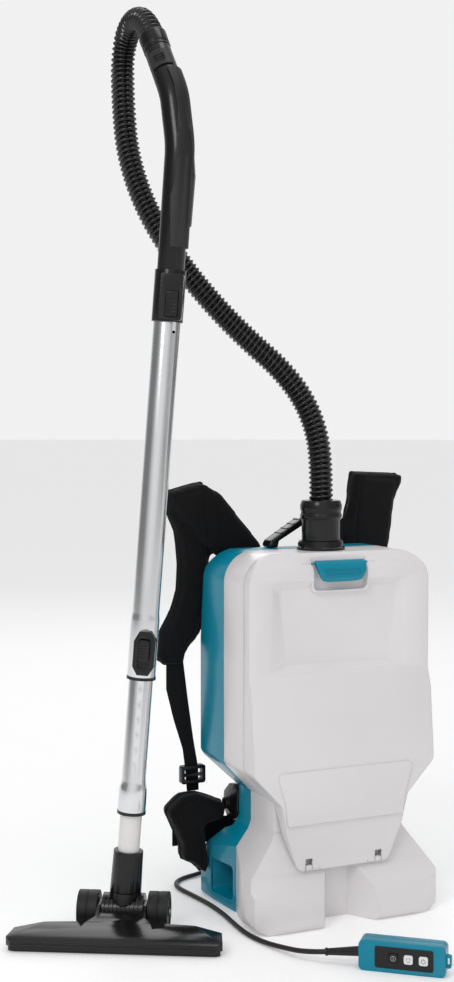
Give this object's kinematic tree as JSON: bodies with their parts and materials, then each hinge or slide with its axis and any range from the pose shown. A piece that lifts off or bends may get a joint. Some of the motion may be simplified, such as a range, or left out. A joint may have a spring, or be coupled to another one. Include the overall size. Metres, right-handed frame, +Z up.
{
  "type": "backpack vacuum cleaner",
  "caption": "Backpack vacuum cleaner with a harness, a hinged front cover, a corrugated hose, a telescopic wand with a wheeled floor nozzle and a corded handset.",
  "frame": {"origin": "centre of the pack's base on the floor", "axes": "+Z up, -Y out of the pack's front cover, +Y towards the wearer, +X to the pack's right as seen from the front"},
  "size_m": [0.6969, 0.5417, 1.3272],
  "materials": {
    "white_shell": "fine satin moulding",
    "teal_shell": "satin moulding",
    "black_plastic": "satin moulding",
    "hose_plastic": "glossy corrugated",
    "grip_rubber": "soft touch",
    "wheel_rubber": "matt",
    "tube_aluminium": "anodised satin",
    "pale_plastic": "satin moulding",
    "pad_fabric": "padded mesh",
    "webbing": "woven",
    "bag_paper": "fleece",
    "bag_card": "pressed card",
    "strip_fabric": "cut pile",
    "steel": "ground",
    "motor_metal": "cast",
    "circuit_board": "lacquered",
    "inner_frame": "moulded",
    "cable_rubber": "matt"
  },
  "bodies": {
    "pack": {"rear_housing": "teal_shell", "front_housing": "white_shell", "cover_hinge_pin": "steel", "bulkhead": "inner_frame", "exhaust_filter": "pale_plastic", "dust_bag": "bag_paper", "bag_collar": "bag_card", "motor": "motor_metal", "fan_shroud": "black_plastic", "control_board": "circuit_board", "battery_terminals": "steel", "cable_gland": "black_plastic", "inlet_socket": "black_plastic", "hose": "hose_plastic", "harness_plate": "black_plastic", "back_pad": "pad_fabric", "shoulder_pad_left": "pad_fabric", "shoulder_pad_right": "pad_fabric", "strap_webbing": "webbing", "strap_adjusters": "black_plastic", "hip_brackets": "black_plastic", "hip_pads": "pad_fabric", "belt_webbing": "webbing", "buckle_socket": "black_plastic", "buckle_tongue": "black_plastic", "carry_handle": "black_plastic", "handle_pipe": "black_plastic", "handle_grip": "grip_rubber", "tube_connector": "black_plastic", "outer_tube": "tube_aluminium", "tube_wiper": "black_plastic", "telescope_case": "black_plastic", "handset_front": "teal_shell", "handset_back": "teal_shell", "handset_panel": "black_plastic", "strain_relief": "black_plastic", "remote_cable": "cable_rubber"},
    "cover": {"front_cover": "white_shell"},
    "latch": {"cover_latch": "teal_shell"},
    "inlet_cuff": {"hose_cuff": "black_plastic"},
    "wand_cuff": {"hose_end_cuff": "black_plastic"},
    "bleed": {"bleed_slider": "grip_rubber"},
    "release": {"release_tab": "black_plastic"},
    "lock": {"telescope_slider": "black_plastic"},
    "lower_wand": {"inner_tube": "tube_aluminium", "tube_end_ring": "black_plastic", "connector_pipe": "pale_plastic", "nozzle_neck": "black_plastic"},
    "elbow": {"nozzle_elbow": "black_plastic"},
    "nozzle": {"nozzle_cover": "black_plastic", "nozzle_sole": "black_plastic", "nozzle_strips": "strip_fabric", "nozzle_axle": "steel"},
    "left_wheel": {"wheel_left": "wheel_rubber"},
    "right_wheel": {"wheel_right": "wheel_rubber"},
    "fan": {"fan_impeller": "black_plastic"},
    "boost": {"button_boost": "black_plastic"},
    "mode": {"button_mode": "pale_plastic"},
    "power": {"button_power": "pale_plastic"},
    "clip": {"belt_clip": "black_plastic"}
  },
  "joints": [
    {"name": "cover_hinge", "type": "hinge", "parent": "pack", "child": "cover", "pos_m": [0, -0.101, 0.084], "axis": [1, 0, 0], "range_deg": [0, 75]},
    {"name": "latch_pull", "type": "hinge", "parent": "cover", "child": "latch", "pos_m": [0, -0.0875, 0.523], "axis": [-1, 0, 0], "range_deg": [0, 25], "stiffness_Nm_per_rad": 0.2, "springref_deg": -11.46},
    {"name": "inlet_cuff_turn", "type": "hinge", "parent": "pack", "child": "inlet_cuff", "pos_m": [0, -0.03, 0.56], "axis": [0, 0, 1], "continuous": true},
    {"name": "wand_cuff_turn", "type": "hinge", "parent": "pack", "child": "wand_cuff", "pos_m": [-0.24526, 0.00478, 1.252], "axis": [-0.1067, 0.4827, 0.8692], "continuous": true},
    {"name": "bleed_slide", "type": "slide", "parent": "pack", "child": "bleed", "axis": [-0.1067, 0.4827, 0.8692], "range_m": [0, 0.008]},
    {"name": "release_press", "type": "slide", "parent": "pack", "child": "release", "axis": [0.4894, 0.8721, 0], "range_m": [0, 0.001], "stiffness_N_per_m": 1500, "springref_m": -0.001},
    {"name": "telescope_lock_slide", "type": "slide", "parent": "pack", "child": "lock", "axis": [-0.0658, 0.0369, -0.9971], "range_m": [0, 0.009], "stiffness_N_per_m": 300, "springref_m": -0.002},
    {"name": "telescope_slide", "type": "slide", "parent": "pack", "child": "lower_wand", "axis": [0.0658, -0.0369, 0.9971], "range_m": [-0.2, 0.14]},
    {"name": "nozzle_swivel", "type": "hinge", "parent": "lower_wand", "child": "elbow", "pos_m": [-0.3053, -0.0074, 0.028], "axis": [0.0658, -0.0369, 0.9971], "range_deg": [-60, 20]},
    {"name": "nozzle_tilt", "type": "hinge", "parent": "elbow", "child": "nozzle", "pos_m": [-0.3053, -0.0074, 0.028], "axis": [0.8721, -0.4894, 0], "range_deg": [-5, 75]},
    {"name": "wheel_left_spin", "type": "hinge", "parent": "nozzle", "child": "left_wheel", "pos_m": [-0.3053, -0.0074, 0.028], "axis": [0.8721, -0.4894, 0], "continuous": true},
    {"name": "wheel_right_spin", "type": "hinge", "parent": "nozzle", "child": "right_wheel", "pos_m": [-0.3053, -0.0074, 0.028], "axis": [0.8721, -0.4894, 0], "continuous": true},
    {"name": "fan_spin", "type": "hinge", "parent": "pack", "child": "fan", "pos_m": [0, -0.025, 0.18], "axis": [0, 0, 1], "continuous": true},
    {"name": "boost_press", "type": "slide", "parent": "pack", "child": "boost", "axis": [0.6534, 0.757, 0], "range_m": [0, 0.001], "stiffness_N_per_m": 800, "springref_m": -0.0005},
    {"name": "mode_press", "type": "slide", "parent": "pack", "child": "mode", "axis": [0.6534, 0.757, 0], "range_m": [0, 0.001], "stiffness_N_per_m": 800, "springref_m": -0.0005},
    {"name": "power_press", "type": "slide", "parent": "pack", "child": "power", "axis": [0.6534, 0.757, 0], "range_m": [0, 0.001], "stiffness_N_per_m": 800, "springref_m": -0.0005},
    {"name": "clip_flex", "type": "hinge", "parent": "pack", "child": "clip", "pos_m": [-0.01496, -0.29767, 0.0325], "axis": [0.757, -0.6534, 0], "range_deg": [0, 12], "stiffness_Nm_per_rad": 0.3, "springref_deg": -5.73}
  ]
}
